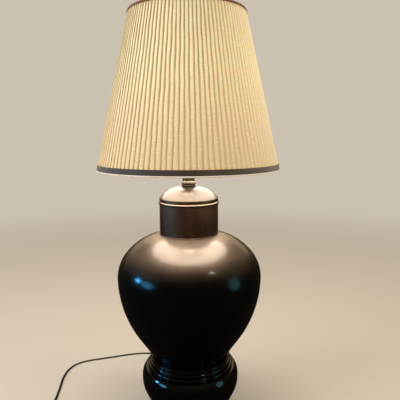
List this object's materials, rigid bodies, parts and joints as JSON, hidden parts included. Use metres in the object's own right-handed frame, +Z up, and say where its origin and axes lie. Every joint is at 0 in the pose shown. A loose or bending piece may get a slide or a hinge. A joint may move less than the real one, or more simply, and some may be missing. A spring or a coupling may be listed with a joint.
{
  "type": "ginger jar table lamp",
  "caption": "Ginger jar table lamp with a domed lid, a stepped turned base, a pleated empire shade on a harp, a keyed lampholder and a cord with its plug.",
  "frame": {"origin": "centre of the base's underside, on the lamp's own axis", "axes": "+Z up along the lamp's axis, -Y to the front where the switch key points, cord leaves towards +Y"},
  "size_m": [0.5003, 0.4431, 0.839],
  "materials": {
    "black_felt": "pressed felt",
    "black_lacquer": "gloss black lacquer over turned wood",
    "dark_bronze": "dark antique bronze, satin",
    "polished_bronze": "polished antique bronze",
    "zinc_steel": "bright zinc plate",
    "brassed_steel": "brass plated steel",
    "socket_brass": "bright brass",
    "fibre_board": "grey-black fibre board",
    "phenolic": "moulded, satin",
    "frosted_glass": "inside frosted",
    "cap_aluminium": "rolled thread, bright",
    "pleated_linen": "cream linen, knife pleated",
    "brown_ribbon": "dark brown grosgrain ribbon",
    "white_lining": "white cotton lining",
    "liner_styrene": "stiff off-white shade liner",
    "frame_wire": "white enamelled wire",
    "cord_pvc": "dark brown flexible sheath",
    "blade_brass": "bright brass"
  },
  "bodies": {
    "lamp": {"felt_pad": "black_felt", "turned_base": "black_lacquer", "base_washer": "zinc_steel", "base_locknut": "zinc_steel", "lamp_pipe": "zinc_steel", "jar_body": "dark_bronze", "jar_neck": "dark_bronze", "lid": "polished_bronze", "check_ring": "dark_bronze", "spool_neck": "dark_bronze", "neck_locknut": "brassed_steel", "harp_saddle": "brassed_steel", "harp_wire": "brassed_steel", "harp_stud": "socket_brass", "socket_cap": "socket_brass", "cap_setscrew": "zinc_steel", "socket_shell": "socket_brass", "socket_insulator": "fibre_board", "socket_body": "phenolic", "terminal_screws": "socket_brass", "screw_shell": "socket_brass", "centre_contact": "socket_brass", "cord_bushing": "phenolic", "inner_cord": "cord_pvc", "cord_lead": "cord_pvc", "cord_coil": "cord_pvc", "cord_tie": "phenolic", "plug_body": "phenolic", "plug_blades": "blade_brass"},
    "shade": {"shade_liner": "liner_styrene", "pleated_cover": "pleated_linen", "bottom_trim": "brown_ribbon", "top_trim": "brown_ribbon", "lining_edge": "white_lining", "shade_fitter": "frame_wire", "bottom_ring": "frame_wire"},
    "bulb": {"bulb_glass": "frosted_glass", "bulb_cap": "cap_aluminium", "bulb_tip": "zinc_steel"},
    "switch_key": {"switch_key": "phenolic", "switch_stem": "zinc_steel"},
    "finial": {"finial": "dark_bronze"},
    "sleeve_left": {"harp_sleeve_left": "brassed_steel"},
    "sleeve_right": {"harp_sleeve_right": "brassed_steel"}
  },
  "joints": [
    {"name": "shade_turn", "type": "hinge", "parent": "lamp", "child": "shade", "pos_m": [0, 0, 0.81067], "axis": [0, 0, 1], "continuous": true},
    {"name": "finial_turn", "type": "hinge", "parent": "lamp", "child": "finial", "pos_m": [0, 0, 0.81227], "axis": [0, 0, 1], "continuous": true},
    {"name": "bulb_turn", "type": "hinge", "parent": "lamp", "child": "bulb", "pos_m": [0, 0, 0.57357], "axis": [0, 0, 1], "continuous": true},
    {"name": "switch_key_turn", "type": "hinge", "parent": "lamp", "child": "switch_key", "pos_m": [0, -0.02, 0.56477], "axis": [0, -1, 0], "continuous": true},
    {"name": "sleeve_left_slide", "type": "slide", "parent": "lamp", "child": "sleeve_left", "axis": [0, 0, 1], "range_m": [0, 0.012]},
    {"name": "sleeve_right_slide", "type": "slide", "parent": "lamp", "child": "sleeve_right", "axis": [0, 0, 1], "range_m": [0, 0.012]}
  ]
}
